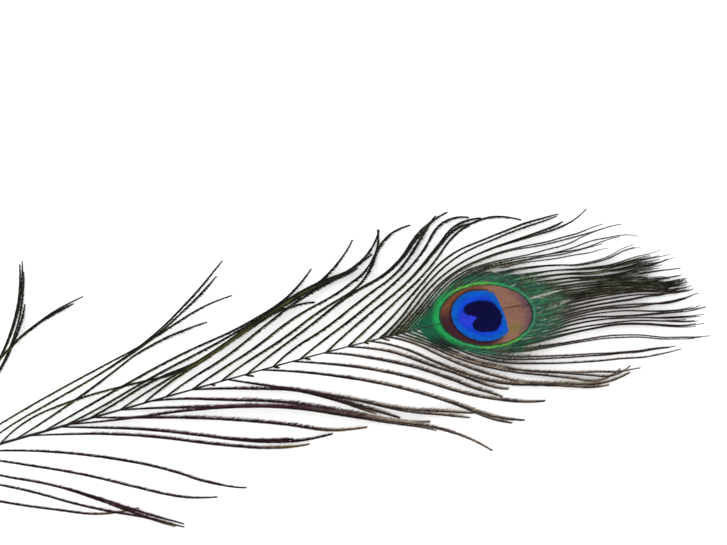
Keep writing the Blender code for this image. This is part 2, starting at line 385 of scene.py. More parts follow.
def colour_property(name, description, default):
    """A colour, given as sRGB hex and kept linear."""
    return FloatVectorProperty(name=name, description=description, default=linear(default), size=4,
                               min=0, max=1, subtype="COLOR")


class FeatherBarbs(bpy.types.PropertyGroup):
    """How the barbs and their barbules grow.

    Real barbules are about 0.03 mm wide and stand as close. These are wider and fewer, so that they show.
    """

    ramus_radius: distance_property("Ramus radius", "Radius of a barb's stem where it is thickest", 0.00031)
    barbule_length: distance_property("Barbule length", "Length of the barbules that face the shaft", 0.0019)
    barbule_width: distance_property("Barbule width", "Width of a barbule where it is widest", 0.00027)
    barbule_thickness: distance_property("Barbule thickness", "A barbule's thickness where it is thickest",
                                         0.00006)
    loose_spacing: distance_property("Barbule spacing", "Between barbules on a loose barb", 0.00016)
    close_spacing: distance_property("Close barbule spacing", "Between barbules on a barb of the eye", 0.0003)
    barb_spacing: distance_property("Barb spacing", "Between the barbs that make the eye", 0.0006)
    barbule_angle: FloatProperty(name="Barbule angle", description="Lean of the barbules that face the shaft",
                                 default=math.radians(42), unit="ROTATION", subtype="ANGLE")
    outer_share: FloatProperty(name="Outer share", description="Length and lean of the outward barbules",
                               default=0.5, min=0, max=1, subtype="FACTOR")
    seed: IntProperty(name="Seed", description="Seed of all that varies from barb to barb", default=7)


class FeatherColours(bpy.types.PropertyGroup):
    """The feather's colours."""

    horn: colour_property("Horn", "The bare quill", "#C9B58E")
    shaft: colour_property("Shaft", "The shaft between the barbs", "#14140E")
    left_core: colour_property("Left stems", "Stems of the left barbs", "#15130F")
    left_fluff: colour_property("Left fluff", "Barbules of the left barbs", "#625F32")
    left_tips: colour_property("Left tips", "Barbules at the tips of the left barbs", "#2A3328")
    left_close: colour_property("Left close fluff", "Barbules of the left barbs by the eye", "#6C6D55")
    right_core: colour_property("Right stems", "Stems of the right barbs", "#220C14")
    right_fluff: colour_property("Right fluff", "Barbules of the right barbs", "#4C3038")
    right_light: colour_property("Light right fluff", "Barbules of the right barbs nearer the eye", "#AEA08C")
    right_close: colour_property("Right close fluff", "Barbules of the right barbs by the eye", "#6A5450")
    gold_tips: colour_property("Gold tips", "Tips of some right barbs, before the eye", "#7E6836")
    # Painted highlight: a pale colour laid where barbules near the eye would catch the light.
    pale_painted_glints: colour_property("Pale flecks", "Barbules that catch the light near the eye", "#C4C2BC")
    underside: colour_property("Underside", "The dull back of barbs and barbules", "#4A4036")
    emerald_dark: colour_property("Dark emerald", "Dark streaks around the eye", "#22322C")
    emerald: colour_property("Emerald", "Green around the eye", "#2E6450")
    emerald_light: colour_property("Light emerald", "Bright flecks around the eye", "#2E9054")
    wedge_dark: colour_property("Dark wedge", "Blue green where the barbs close up before the eye", "#1C6446")
    wedge: colour_property("Wedge", "Bright green just before the ring", "#20A858")
    ring: colour_property("Ring", "The ring around the eye", "#2E9A58")
    ring_yellow: colour_property("Yellow ring", "The ring's yellow stretches", "#6DB03A")
    ring_dull: colour_property("Dull ring", "The ring's far end", "#3F8062")
    line: colour_property("Line", "Thin dark lines between the eye's colours", "#1A1014")
    maroon: colour_property("Maroon", "The bronze oval on the quill's side", "#42222C")
    brown: colour_property("Brown", "The bronze oval on the left side", "#744630")
    tan: colour_property("Tan", "The bronze oval on the tip's side", "#8A6353")
    olive: colour_property("Olive", "A patch of the bronze oval on the right side", "#7C6840")
    purple: colour_property("Purple", "The bronze oval's far rim", "#6A4A52")
    azure: colour_property("Azure", "The blue's outer edge", "#0658B6")
    blue: colour_property("Blue", "The blue's middle", "#0C40C8")
    violet: colour_property("Violet", "The blue beside the pupil", "#2A3CD4")
    pupil: colour_property("Pupil", "The eye's dark heart", "#03033A")


class FeatherStage(bpy.types.PropertyGroup):
    """The surface that the feather lies on, its light and its camera."""

    paper: colour_property("Paper", "The surface that the feather lies on", "#FAFAFA")
    sky_strength: FloatProperty(name="Surrounding light", description="Strength of the light from all around",
                                default=1.3, min=0)
    lamp_strength: FloatProperty(name="Lamp", description="Strength of the soft lamp", default=0.8, min=0)
    lens: FloatProperty(name="Lens", description="The camera's focal length in millimetres", default=120,
                        subtype="DISTANCE_CAMERA", unit="CAMERA")


def shaft_side(along):
    """How far to the left the shaft's centre line lies."""
    past_bend = max(0, along - BEND_FROM)
    return SHAFT_LEAN * (along - SHAFT_LEVEL_AT) - BEND * past_bend ** 2


def shaft_radius(along):
    """The shaft's radius, rounded off at the quill's end and thinning towards the eye."""
    left_to_go = 1 - along / SHAFT_LENGTH
    radius = SHAFT_END_RADIUS + (QUILL_RADIUS - SHAFT_END_RADIUS) * left_to_go ** THINNING
    if along < QUILL_ROUNDING:
        radius *= QUILL_END_SHARE + (1 - QUILL_END_SHARE) * math.sqrt(along / QUILL_ROUNDING)
    return radius


def shaft_height(along):
    """The height of the shaft's centre line above the ground that it is flattened on."""
    return shaft_radius(along) * (1 - FLAT_DEPTH)


def place(along, across, height):
    """A point of the feather in the frame's metres."""
    return Vector((along - MIDDLE[0], across - MIDDLE[1], height)) * MM


def mix(a, b, share):
    """A value or a point between two others."""
    if isinstance(a, tuple):
        return tuple(mix(x, y, share) for x, y in zip(a, b))
    return a + (b - a) * share


def smooth_share(value, start, end):
    """0 before start, 1 after end, and a smooth step between."""
    share = min(max((value - start) / (end - start), 0), 1)
    return share * share * (3 - 2 * share)


def value_along(values, share):
    """Reads a row of evenly spaced values at a share of its length."""
    position = share * (len(values) - 1)
    index = min(int(position), len(values) - 2)
    return mix(values[index], values[index + 1], position - index)


def barb_line(barb, vane, steps):
    """A barb's centre line seen from above, as (along, across) at even steps."""
    root, length, *turns = barb
    along, across = root, shaft_side(root)
    line = [(along, across)]
    for i in range(steps):
        angle = vane * math.radians(value_along(turns, (i + 0.5) / steps))
        along += length / steps * math.cos(angle)
        across += length / steps * math.sin(angle)
        line.append((along, across))
    return line


def raise_line(line, root, length):
    """Gives a line seen from above its height: it leaves the shaft, arches, and comes down at its tip.

    Loose barbs leave the shaft at its side, and the eye's barbs cover it. The arch is a parabola.
    """
    start = shaft_height(root) + shaft_radius(root) * smooth_share(root, *ROOTS_RISE)
    arch = length * mix(BARB_ARCH, CLOSE_ARCH, smooth_share(root, *ARCH_CHANGES))
    raised = []
    for i, (along, across) in enumerate(line):
        share = i / (len(line) - 1)
        raised.append((along, across, mix(start, TIP_HEIGHT, share) + 4 * arch * share * (1 - share)))
    return raised


def sway_line(line, rng, reach):
    """Moves a line sideways in slow waves that grow towards its tip, by up to about its reach."""
    waves = [(rng.uniform(*count), rng.uniform(0, 1)) for count in SWAY_WAVES]
    swayed = []
    for i, point in enumerate(line):
        before, after = line[max(i - 1, 0)], line[min(i + 1, len(line) - 1)]
        along, across = after[0] - before[0], after[1] - before[1]
        size = math.hypot(along, across)
        share = i / (len(line) - 1)
        swing = sum(math.sin(math.tau * (count * share + phase)) / count for count, phase in waves)
        shift = reach * share ** SWAY_GROWTH * swing
        swayed.append((point[0] - shift * across / size, point[1] + shift * along / size, *point[2:]))
    return swayed


def make_strand(line, vane, rng, girth=1.0, fluff=1.0, close=0.0):
    """A strand along a raised line, with its thickness and fluff at each point.

    Its fluff is that of a loose barb or of a close one, or between them. Its tip is cut where it would leave
    the feather's outline.
    """
    while not is_inside(place(*line[-1])):
        line = line[:-1]
    last = len(line) - 1
    girths = [girth * value_along(GIRTH[vane], i / last) for i in range(len(line))]
    shares = mix(LOOSE_FLUFF[vane], CLOSE_FLUFF[vane], close)
    fluffs = [fluff * value_along(shares, i / last) for i in range(len(line))]
    return Strand(line, girths, fluffs, rng.random(), vane, close)


def is_inside(point):
    """Whether a point in metres, with fluff around it, lies within the CAD model's outline."""
    low, high = CAD_BOX
    return all(low[i] + EDGE_MARGIN * MM < point[i] < high[i] - EDGE_MARGIN * MM for i in (0, 1))


def sister_of(strand, rng):
    """A finer strand that lies on another one at first and parts from it towards the tip."""
    last = len(strand.points) - 1
    start, end = (int(rng.uniform(*shares) * last) for shares in (SISTER_STARTS, SISTER_ENDS))
    reach = rng.choice((-1, 1)) * rng.uniform(*SISTER_PARTS)
    line = []
    for i in range(start, end + 1):
        (x0, y0, _), (x1, y1, _) = strand.points[i - 1], strand.points[min(i + 1, last)]
        size = math.hypot(x1 - x0, y1 - y0)
        shift = reach * ((i - start) / (last - start)) ** SISTER_CURVE
        along, across, height = strand.points[i]
        line.append((along - shift * (y1 - y0) / size, across + shift * (x1 - x0) / size, height))
    return make_strand(line, strand.vane, rng, SISTER_GIRTH, SISTER_FLUFF)


def loose_strands(barbs, vane, rng):
    """The barbs that stand apart, some of them with a finer sister."""
    strands = []
    for barb in barbs:
        root, length = barb[:2]
        if root >= CLOSE_FROM:
            continue
        line = barb_line(barb, vane, round(length / POINT_SPACING))
        line = sway_line(raise_line(line, root, length), rng, LOOSE_SWAY)
        fullness = mix(FIRST_FULLNESS, 1, smooth_share(root, *FULLNESS_GROWS))
        close = smooth_share(root, *FLUFF_CHANGES[vane])
        strands.append(make_strand(line, vane, rng, fullness, fullness, close))
        if rng.random() < SISTER_CHANCE:
            strands.append(sister_of(strands[-1], rng))
    return strands


def stub_strands(stubs, vane, rng):
    """Short stubs where barbs have broken off."""
    strands = []
    for root, length, angle in stubs:
        line = barb_line((root, length, angle, angle), vane, STUB_STEPS)
        strands.append(make_strand(raise_line(line, root, length), vane, rng, fluff=STUB_FLUFF))
    return strands


def line_between(barbs, vane, root, gather):
    """A barb that grows between two listed ones and gathers in a bunch: its line, length and bunch's root."""
    before, after = next((a, b) for a, b in zip(barbs, barbs[1:]) if a[0] <= root <= b[0])
    share = (root - before[0]) / (after[0] - before[0])
    bunch = nearest_bunch(share, max(round((after[0] - before[0]) / BUNCH_SPACING[vane]), 1))
    lines = barb_line(before, vane, CLOSE_STEPS), barb_line(after, vane, CLOSE_STEPS)
    line = gathered_line(*lines, share, bunch, gather)
    return line, mix(before[1], after[1], share), mix(before[0], after[0], bunch)


def nearest_bunch(share, bunch_count):
    """The share at which the nearest of several evenly spaced bunches lies."""
    return round(share * bunch_count) / bunch_count


def gathered_line(first, second, share, bunch, gather):
    """A line at a share of the way between two others, that gathers to its bunch's line."""
    line = []
    for i, (a, b) in enumerate(zip(first, second)):
        pull = gather * smooth_share(i / (len(first) - 1), *GATHERS_AT)
        line.append(mix(a, b, mix(share, bunch, pull)))
    return line


def close_roots(barbs, vane, spacing):
    """Where the close barbs leave the shaft: ever closer, down to the given spacing."""
    roots = [CLOSE_FROM]
    while roots[-1] < barbs[-1][0]:
        closeness = smooth_share(roots[-1], CLOSE_FROM + CLOSING_DELAY, EYE_FROM)
        roots.append(roots[-1] + mix(FIRST_CLOSE_SPACING[vane], spacing, closeness))
    return roots[:-1]


def close_strands(barbs, vane, spacing, rng):
    """The barbs that make the eye, side by side along the last of the shaft."""
    strands = []
    for root in close_roots(barbs, vane, spacing):
        gathers = mix(FIRST_GATHER[vane], 1, smooth_share(root, CLOSE_FROM, EYE_FROM))
        line, length, bunch = line_between(barbs, vane, root, rng.uniform(*GATHER[vane]) * gathers)
        strands.append(close_strand(line, root, length, bunch, vane, rng))
    return strands


def close_strand(line, root, length, bunch, vane, rng):
    """One of the eye's barbs, with its bunch's sway, and a sway, a lift and a length of its own.

    The bunch's place is the seed of its sway, so that all of its barbs share it.
    """
    bunch_rng = random.Random(bunch)
    line = sway_line(raise_line(line, root, length), bunch_rng, bunch_rng.uniform(*BUNCH_SWAY[vane]))
    line = sway_line(line, rng, rng.uniform(*OWN_SWAY[vane]))
    line = line[:round(len(line) * rng.uniform(*REACH[vane]))]
    lift = rng.uniform(0, CLOSE_LIFT)
    last = len(line) - 1
    line = [(x, y, z + lift * smooth_share(i / last, *LIFTS_AT)) for i, (x, y, z) in enumerate(line)]
    girth = mix(1.0, CLOSE_GIRTH[vane], smooth_share(root, *STEM_THINS[vane]))
    strand = make_strand(line, vane, rng, girth, 1.0, smooth_share(root, *FLUFF_CHANGES[vane]))
    fluff = [share * rim_fluff(*point[:2]) for share, point in zip(strand.fluff, strand.points)]
    return strand._replace(fluff=fluff)


def rim_fluff(along, across):
    """How many times as fluffy a close barb is at a point, for how near the web's rim it is."""
    reach = oval_reach(WEB_OVALS[0], along, across)
    by_rim = smooth_share(reach, RIM_FLUFF_FROM, 1) * smooth_share(reach, RIM_FLUFF_TO, 1)
    return 1 + RIM_FLUFF * by_rim * smooth_share(along, EYE_CENTRE[0] - RIM_FLUFF_BEFORE, EYE_CENTRE[0])


def end_line(share, gather):
    """The line of a barb at the shaft's very end, at a share of the way from the left vane to the right."""
    lines = [barb_line((SHAFT_LENGTH, END_LENGTH, *barbs[-1][2:]), vane, CLOSE_STEPS)
             for vane, _, barbs in VANES]
    return gathered_line(*lines, share, nearest_bunch(share, END_BUNCHES), gather)


def end_strands(rng):
    """The barbs at the shaft's very end, which fan out between the last ones of the two vanes."""
    strands = []
    for i in range(END_BARBS):
        share = (i + rng.uniform(*END_PLACING)) / END_BARBS
        line = end_line(share, rng.uniform(*END_GATHER))
        bunch = nearest_bunch(share, END_BUNCHES)
        strands.append(close_strand(line, SHAFT_LENGTH, END_LENGTH, bunch, 1, rng))
    return strands


def strands_mesh(name, strands):
    """A mesh of bare lines, which carries what each strand's growth needs as attributes of its points."""
    points, edges = [], []
    columns = {"girth": [], "fluff": [], "tint": [], "vane": [], "close": [], "tip": []}
    for strand in strands:
        first, count = len(points), len(strand.points)
        points += [place(*point) for point in strand.points]
        edges += [(first + i, first + i + 1) for i in range(count - 1)]
        columns["girth"] += strand.girth
        columns["fluff"] += strand.fluff
        columns["tint"] += [strand.tint] * count
        columns["vane"] += [strand.vane] * count
        columns["close"] += [strand.close] * count
        columns["tip"] += [i / (count - 1) for i in range(count)]
    mesh = bpy.data.meshes.new(name)
    mesh.from_pydata(points, edges, [])
    add_marks(mesh, columns)
    return mesh


def add_marks(mesh, marks):
    """Gives a mesh's points their numbers for growth and colour."""
    for name, values in marks.items():
        mesh.attributes.new(name, "FLOAT", "POINT").data.foreach_set("value", values)


def add_node(tree, kind, settings=None, inputs=None):
    """Adds a node, makes its settings, and gives its inputs their values or links."""
    node = tree.nodes.new(kind)
    for name, value in (settings or {}).items():
        setattr(node, name, value)
    set_inputs(tree, node, inputs or {})
    return node


def set_inputs(tree, node, inputs):
    """Gives each input of a node a value or links.

    An input is named by its name or its place among those in use. A node given as its value stands for that
    node's first output in use, and a list links several.
    """
    in_use = [socket for socket in node.inputs if socket.enabled]
    for key, value in inputs.items():
        socket = in_use[key] if isinstance(key, int) else next(s for s in in_use if s.name == key)
        for item in value if isinstance(value, list) else [value]:
            if isinstance(item, bpy.types.Node):
                item = next(output for output in item.outputs if output.enabled)
            if isinstance(item, bpy.types.NodeSocket):
                tree.links.new(item, socket)
            else:
                socket.default_value = item


def new_growth_tree(name, sockets):
    """An empty Geometry Nodes tree with a geometry in and out, and its named inputs."""
    tree = bpy.data.node_groups.new(name, "GeometryNodeTree")
    tree.interface.new_socket("Geometry", in_out="OUTPUT", socket_type="NodeSocketGeometry")
    tree.interface.new_socket("Geometry", in_out="INPUT", socket_type="NodeSocketGeometry")
    for socket_name, kind in sockets:
        tree.interface.new_socket(socket_name, in_out="INPUT", socket_type=f"NodeSocket{kind}")
    return tree


def finish_growth(tree, given, geometry, floor):
    """Ends a tree: makes the instances real, raises what lies under the floor, and sets the material.

    A metre to each side is far past the feather, so only heights change.
    """
    realized = add_node(tree, "GeometryNodeRealizeInstances", {}, {"Geometry": geometry})
    position = add_node(tree, "GeometryNodeInputPosition")
    lowest = (-1, -1, floor)
    raised = add_node(tree, "ShaderNodeVectorMath", {"operation": "MAXIMUM"}, {0: position, 1: lowest})
    resting = add_node(tree, "GeometryNodeSetPosition", {}, {"Geometry": realized, "Position": raised})
    finished = add_node(tree, "GeometryNodeSetMaterial", {},
                        {"Geometry": resting, "Material": given["Material"]})
    add_node(tree, "NodeGroupOutput", {}, {"Geometry": finished})


def shaft_tree():
    """Draws the shaft out of its line and radii, and flattens what would lie below the ground."""
    tree = new_growth_tree("draw_shaft", (("Sides", "Int"), ("Material", "Material")))
    given = add_node(tree, "NodeGroupInput").outputs
    radius = add_node(tree, "GeometryNodeInputNamedAttribute", {"data_type": "FLOAT"}, {"Name": "girth"})
    line = add_node(tree, "GeometryNodeMeshToCurve", {}, {"Mesh": given["Geometry"]})
    section = add_node(tree, "GeometryNodeCurvePrimitiveCircle", {},
                       {"Resolution": given["Sides"], "Radius": MM})
    rod = add_node(tree, "GeometryNodeCurveToMesh", {},
                   {"Curve": line, "Profile Curve": section, "Scale": radius, "Fill Caps": True})
    finish_growth(tree, given, rod, 0.0)
    return tree


def barb_tree():
    """Grows barbs out of lines: a round ramus, and flat barbules that lean forward on both flanks."""
    tree = new_growth_tree("grow_barbs", (
        ("Ramus Radius", "Float"), ("Barbule Length", "Float"), ("Barbule Width", "Float"),
        ("Barbule Thickness", "Float"), ("Barbule Spacing", "Float"), ("Barbule Angle", "Float"),
        ("Outer Share", "Float"), ("Seed", "Int"), ("Material", "Material")))
    given = add_node(tree, "NodeGroupInput").outputs
    marks = {name: add_node(tree, "GeometryNodeInputNamedAttribute", {"data_type": "FLOAT"}, {"Name": name})
             for name in ("girth", "fluff", "vane")}
    lines = add_node(tree, "GeometryNodeMeshToCurve", {}, {"Mesh": given["Geometry"]})
    radius = add_node(tree, "ShaderNodeMath", {"operation": "MULTIPLY"},
                      {0: marks["girth"], 1: given["Ramus Radius"]})
    section = add_node(tree, "GeometryNodeCurvePrimitiveCircle", {},
                       {"Resolution": RAMUS_SIDES, "Radius": 1.0})
    rami = add_node(tree, "GeometryNodeCurveToMesh", {},
                    {"Curve": lines, "Profile Curve": section, "Scale": radius, "Fill Caps": True})
    places = add_node(tree, "GeometryNodeResampleCurve", {"mode": "LENGTH"},
                      {"Curve": lines, "Length": given["Barbule Spacing"]})
    blade = barbule_blade(tree)
    flanks = [barbule_flank(tree, given, marks, places, blade, flank) for flank in (-1, 1)]
    joined = add_node(tree, "GeometryNodeJoinGeometry", {}, {"Geometry": [rami, *flanks]})
    finish_growth(tree, given, joined, CLEARANCE * MM)
    return tree


def barbule_blade(tree):
    """A flat kite a unit long and a unit wide, widest at a third: a three-sided cone with a slanted base.

    Its points know how far along it they are.
    """
    cone = add_node(tree, "GeometryNodeMeshCone", {},
                    {"Vertices": 3, "Radius Top": 0.0, "Radius Bottom": BLADE_RADIUS, "Depth": BLADE_DEPTH})
    position = add_node(tree, "GeometryNodeInputPosition")
    where = add_node(tree, "ShaderNodeSeparateXYZ", {}, {0: position}).outputs
    slanted = add_node(tree, "ShaderNodeMath", {"operation": "MULTIPLY_ADD"},
                       {0: where["X"], 1: BLADE_SLANT, 2: where["Z"]})
    along = add_node(tree, "ShaderNodeMath", {"operation": "ADD"}, {0: slanted, 1: BLADE_SHIFT})
    spot = add_node(tree, "ShaderNodeCombineXYZ", {}, {"X": where["Y"], "Y": where["X"], "Z": along})
    kite = add_node(tree, "GeometryNodeSetPosition", {}, {"Geometry": cone, "Position": spot})
    facing_out = add_node(tree, "GeometryNodeFlipFaces", {}, {"Mesh": kite})
    return add_node(tree, "GeometryNodeStoreNamedAttribute", {"data_type": "FLOAT", "domain": "POINT"},
                    {"Geometry": facing_out, "Name": "reach", "Value": where["Z"]})


def barbule_changes(tree, given, flank):
    """How much more or less each barbule on a flank leans and rises, and its share of the full length."""
    changes = []
    for i, (low, high) in enumerate((LEAN_CHANGE, RISE, LENGTH_CHANGE), 1):
        seed = add_node(tree, "ShaderNodeMath", {"operation": "ADD"},
                        {0: given["Seed"], 1: i * SEED_STEP + flank})
        changes.append(add_node(tree, "FunctionNodeRandomValue", {"data_type": "FLOAT"},
                                {"Min": low, "Max": high, "Seed": seed}))
    return changes


def barbule_turn(tree, lean, rise):
    """Turns a blade from upright to flat, leaning out from the line's direction and rising a little."""
    outward = add_node(tree, "ShaderNodeVectorRotate", {"rotation_type": "Z_AXIS"},
                       {"Vector": add_node(tree, "GeometryNodeInputTangent"), "Angle": lean})
    upward = add_node(tree, "ShaderNodeCombineXYZ", {}, {"Z": rise})
    aim = add_node(tree, "ShaderNodeVectorMath", {"operation": "ADD"}, {0: outward, 1: upward})
    aimed = add_node(tree, "FunctionNodeAlignRotationToVector", {"axis": "Z"}, {"Vector": aim})
    return add_node(tree, "FunctionNodeAlignRotationToVector", {"axis": "Y", "pivot_axis": "Z"},
                    {"Rotation": aimed, "Vector": (0, 0, 1)})


def barbule_flank(tree, given, marks, places, blade, flank):
    """The barbules on one flank of the lines: long ones where it faces the shaft, shorter ones elsewhere."""
    lean_change, rise, length_change = barbule_changes(tree, given, flank)
    faces_out = add_node(tree, "ShaderNodeMath", {"operation": "MULTIPLY"}, {0: marks["vane"], 1: flank})
    share = add_node(tree, "ShaderNodeMapRange", {},
                     {"Value": faces_out, "From Min": -1, "From Max": 1,
                      "To Min": 1, "To Max": given["Outer Share"]})
    angle = add_node(tree, "ShaderNodeMath", {"operation": "MULTIPLY"},
                     {0: given["Barbule Angle"], 1: share})
    lean = add_node(tree, "ShaderNodeMath", {"operation": "MULTIPLY_ADD"},
                    {0: angle, 1: flank, 2: lean_change})
    fluff = add_node(tree, "ShaderNodeMath", {"operation": "MULTIPLY"}, {0: marks["fluff"], 1: share})
    full = add_node(tree, "ShaderNodeMath", {"operation": "MULTIPLY"},
                    {0: fluff, 1: given["Barbule Length"]})
    length = add_node(tree, "ShaderNodeMath", {"operation": "MULTIPLY"}, {0: full, 1: length_change})
    size = add_node(tree, "ShaderNodeCombineXYZ", {},
                    {"X": given["Barbule Width"], "Y": given["Barbule Thickness"], "Z": length})
    turn = barbule_turn(tree, lean, rise)
    grown = add_node(tree, "GeometryNodeInstanceOnPoints", {},
                     {"Points": places, "Instance": blade, "Rotation": turn, "Scale": size})
    return add_node(tree, "GeometryNodeStoreNamedAttribute", {"data_type": "FLOAT", "domain": "INSTANCE"},
                    {"Geometry": grown, "Name": "flank", "Value": flank})


def grow(name, mesh, tree, values):
    """Runs a tree on a mesh and returns the plain mesh that it makes."""
    source = bpy.data.objects.new(name + "_lines", mesh)
    bpy.context.scene.collection.objects.link(source)
    modifier = source.modifiers.new("growth", "NODES")
    modifier.node_group = tree
    for item in tree.interface.items_tree:
        if item.item_type == "SOCKET" and item.in_out == "INPUT" and item.name in values:
            modifier[item.identifier] = values[item.name]
    depsgraph = bpy.context.evaluated_depsgraph_get()
    grown = bpy.data.meshes.new_from_object(source.evaluated_get(depsgraph), preserve_all_data_layers=True,
                                            depsgraph=depsgraph)
    source.modifiers.remove(modifier)
    bpy.data.objects.remove(source)
    if not grown.polygons:
        raise RuntimeError(f"{name}: nothing grew")
    return grown


def add_piece(name, mesh):
    """Makes a finished mesh a piece of the feather."""
    mesh.name = name
    add_surface_map(mesh)
    piece = bpy.data.objects.new(name, mesh)
    bpy.context.scene.collection.objects.link(piece)
    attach(piece, BODY)
    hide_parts(NODE)
    return piece


def add_surface_map(mesh):
    """A map seen from above and a little aside, so that steep faces have some width in it too."""
    layer = mesh.uv_layers.new(name="OFBake")
    low, high = CAD_BOX
    size = max(high[0] - low[0], high[1] - low[1]) + 2 * MAP_MARGIN
    values = []
    for loop in mesh.loops:
        point = mesh.vertices[loop.vertex_index].co
        values += [(point[i] - low[i] + MAP_MARGIN + MAP_LEAN[i] * point.z) / size for i in (0, 1)]
    layer.uv.foreach_set("vector", values)


def oval_reach(oval, along, across):
    """How far from an oval's middle a point lies: 1 on its edge, and less inside."""
    turn = math.radians(oval.turn)
    x = along - EYE_CENTRE[0] - oval.centre[0]
    y = across - EYE_CENTRE[1] - oval.centre[1]
    u = (x * math.cos(turn) + y * math.sin(turn)) / oval.radii[0]
    v = (y * math.cos(turn) - x * math.sin(turn)) / oval.radii[1]
    return math.hypot(u, v)


def web_rows(barbs, vane, spacing, rng):
    """The stretches of the close barbs that lie in the web, outermost first, with ragged ends."""
    lines = [(*line_between(barbs, vane, root, 0)[:2], root) for root in close_roots(barbs, vane, spacing)]
    shares = [i / END_BARBS for i in range(END_BARBS // 2 + 1)]
    lines += [(end_line(share if vane > 0 else 1 - share, 0), END_LENGTH, SHAFT_LENGTH) for share in shares]
    rows = []
    for line, length, root in lines:
        raised = raise_line(line, root, length)
        inside = [i for i, point in enumerate(raised) if is_in_web(*point[:2])]
        if len(inside) >= WEB_ROW_POINTS:
            rows.append(raised[inside[0]:inside[-1] + rng.randint(0, WEB_RAGGED)])
    return rows


def is_in_web(along, across):
    """Whether a point lies in the close-knit part."""
    return any(oval_reach(oval, along, across) < 1 for oval in WEB_OVALS)


def web_layer(sheet, rows, depth):
    """The points of one face of the web, at a depth under the rows of barbs."""
    return [[sheet.verts.new(place(x, y, max(z - depth, CLEARANCE))) for x, y, z in row] for row in rows]


def web_half(barbs, vane, spacing, rng):
    """One half of the web as a closed sheet, and its points' marks."""
    rows = [[value_along(row, i / WEB_COLUMNS) for i in range(WEB_COLUMNS + 1)]
            for row in web_rows(barbs, vane, spacing, rng)]
    sheet = bmesh.new()
    layers = [web_layer(sheet, rows, depth) for depth in (WEB_DEPTH, WEB_DEPTH + WEB_THICKNESS)]
    for grid in layers:
        for row, following in zip(grid, grid[1:]):
            for i in range(WEB_COLUMNS):
                sheet.faces.new((row[i], row[i + 1], following[i + 1], following[i]))
    top_rim, bottom_rim = (web_rim(grid) for grid in layers)
    for i in range(len(top_rim)):
        sheet.faces.new((top_rim[i - 1], bottom_rim[i - 1], bottom_rim[i], top_rim[i]))
    bmesh.ops.recalc_face_normals(sheet, faces=sheet.faces)
    tints = [rng.random() for _ in rows]
    points = [(tint, i / WEB_COLUMNS) for _ in layers for tint in tints for i in range(WEB_COLUMNS + 1)]
    marks = {"tint": [tint for tint, _ in points], "tip": [tip * WEB_TIP for _, tip in points]}
    for name, value in (("vane", vane), ("close", 1.0), ("flank", 1.0), ("reach", WEB_REACH)):
        marks[name] = [value] * len(points)
    return sheet, marks


def web_rim(grid):
    """The points around a sheet's edge, in order."""
    first, last = grid[0], grid[-1]
    return [*first, *[row[-1] for row in grid[1:-1]], *reversed(last), *[row[0] for row in grid[-2:0:-1]]]


def smooth_mesh(mesh):
    """Shades a mesh smooth, apart from its sharp edges."""
    mesh.shade_smooth()
    mesh.set_sharp_from_angle(angle=SHARP_FROM)


def oval_edge(tree, plane, oval):
    """How far a point lies outside an oval, in millimetres, and less than nothing inside it."""
    fitted = add_node(tree, "ShaderNodeMapping", {"vector_type": "TEXTURE"},
                      {"Vector": plane, "Location": (*oval.centre, 0),
                       "Rotation": (0, 0, math.radians(oval.turn)), "Scale": (*oval.radii, 1)})
    length = add_node(tree, "ShaderNodeVectorMath", {"operation": "LENGTH"}, {0: fitted})
    size = min(oval.radii)
    return add_node(tree, "ShaderNodeMath", {"operation": "MULTIPLY_ADD"}, {0: length, 1: size, 2: -size})


def cover(tree, under, over, value, full_at, gone_at, strength=1.0):
    """Lays a colour over another: in full where a value is at or past full_at, and not past gone_at.

    The two are in the value's own unit: millimetres for a place or an oval's edge, and shares for the rest.
    """
    share = add_node(tree, "ShaderNodeMapRange", {"interpolation_type": "SMOOTHSTEP"},
                     {"Value": value, "From Min": full_at, "From Max": gone_at,
                      "To Min": strength, "To Max": 0})
    return add_node(tree, "ShaderNodeMix", {"data_type": "RGBA"}, {"Factor": share, "A": under, "B": over})


def eye_plane(tree, coordinates):
    """Millimetres from the eye's centre as seen from above, a little ragged as barbules make it."""
    offset = (MIDDLE[0] - EYE_CENTRE[0], MIDDLE[1] - EYE_CENTRE[1], 0)
    plane = add_node(tree, "ShaderNodeMapping", {"vector_type": "POINT"},
                     {"Vector": coordinates, "Location": offset, "Scale": (1 / MM, 1 / MM, 0)})
    jags = add_node(tree, "ShaderNodeTexNoise", {}, {"Vector": plane, "Scale": 1 / JAG_SIZE, "Detail": 1})
    centred = add_node(tree, "ShaderNodeVectorMath", {"operation": "SUBTRACT"},
                       {0: jags.outputs["Color"], 1: (0.5, 0.5, 0.5)})
    return add_node(tree, "ShaderNodeVectorMath", {"operation": "MULTIPLY_ADD"},
                    {0: centred, 1: (JAG_REACH, JAG_REACH, 0), 2: plane})


def point_marks(tree, coordinates):
    """What the colours read at a point: its numbers from growth, and its place from the eye's centre.

    The mark vane_tip is 1 at the tips of the left vane and -1 at those of the right one.
    """
    marks = {name: add_node(tree, "ShaderNodeAttribute", {"attribute_name": name}).outputs["Fac"]
             for name in ("vane", "flank", "reach", "tint", "close", "tip")}
    marks["vane_tip"] = add_node(tree, "ShaderNodeMath", {"operation": "MULTIPLY"},
                                 {0: marks["vane"], 1: marks["tip"]})
    marks["plane"] = eye_plane(tree, coordinates)
    where = add_node(tree, "ShaderNodeSeparateXYZ", {}, {0: marks["plane"]}).outputs
    marks["along"], marks["across"] = where["X"], where["Y"]
    return marks


def streaks_along(tree, marks, length):
    """Noise that differs from barb to barb and changes along each, in streaks of a given length."""
    spot = add_node(tree, "ShaderNodeCombineXYZ", {}, {"X": marks["tint"], "Y": marks["tip"]})
    spread = add_node(tree, "ShaderNodeMapping", {},
                      {"Vector": spot, "Scale": (TINT_SPREAD, USUAL_LENGTH / length, 1)})
    return add_node(tree, "ShaderNodeTexNoise", {}, {"Vector": spread, "Scale": 1, "Detail": 1})


